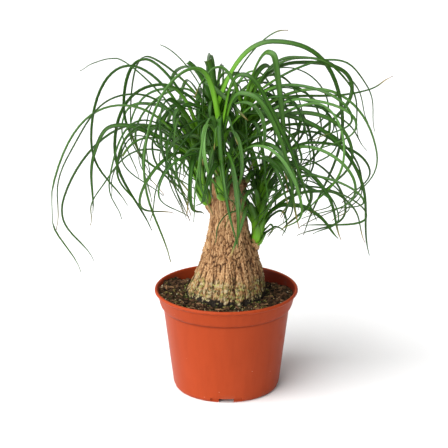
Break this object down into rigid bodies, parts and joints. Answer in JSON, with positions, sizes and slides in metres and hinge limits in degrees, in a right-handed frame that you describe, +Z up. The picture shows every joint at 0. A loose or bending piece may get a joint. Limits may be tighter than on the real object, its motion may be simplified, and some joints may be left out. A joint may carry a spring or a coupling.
{
  "type": "potted ponytail palm",
  "caption": "Young ponytail palm with a swollen bark trunk and arching strap leaves on side shoots, rooted in potting mix in a plain round nursery pot.",
  "frame": {"origin": "on the floor under the pot's axis, which is the middle of the whole plant's width and depth to within 3 mm", "axes": "+Z up along the pot's axis; +Y to the back, away from the side that the picture shows; +X to the right, seen from the front"},
  "size_m": [0.3894, 0.3515, 0.4147],
  "materials": {
    "pot": "terracotta-coloured plastic with a satin sheen",
    "potting_mix": "damp dark peat with bark crumbs and pale grit",
    "bark": "dry tan bark with upright cracks",
    "leaf": "green leathery leaf with a soft sheen"
  },
  "bodies": {
    "root": {"pot": "pot", "potting_mix": "potting_mix", "trunk": "bark", "shoot_left": "leaf", "shoot_front": "leaf", "shoot_top": "leaf", "shoot_back": "leaf", "shoot_right": "leaf"}
  },
  "joints": []
}
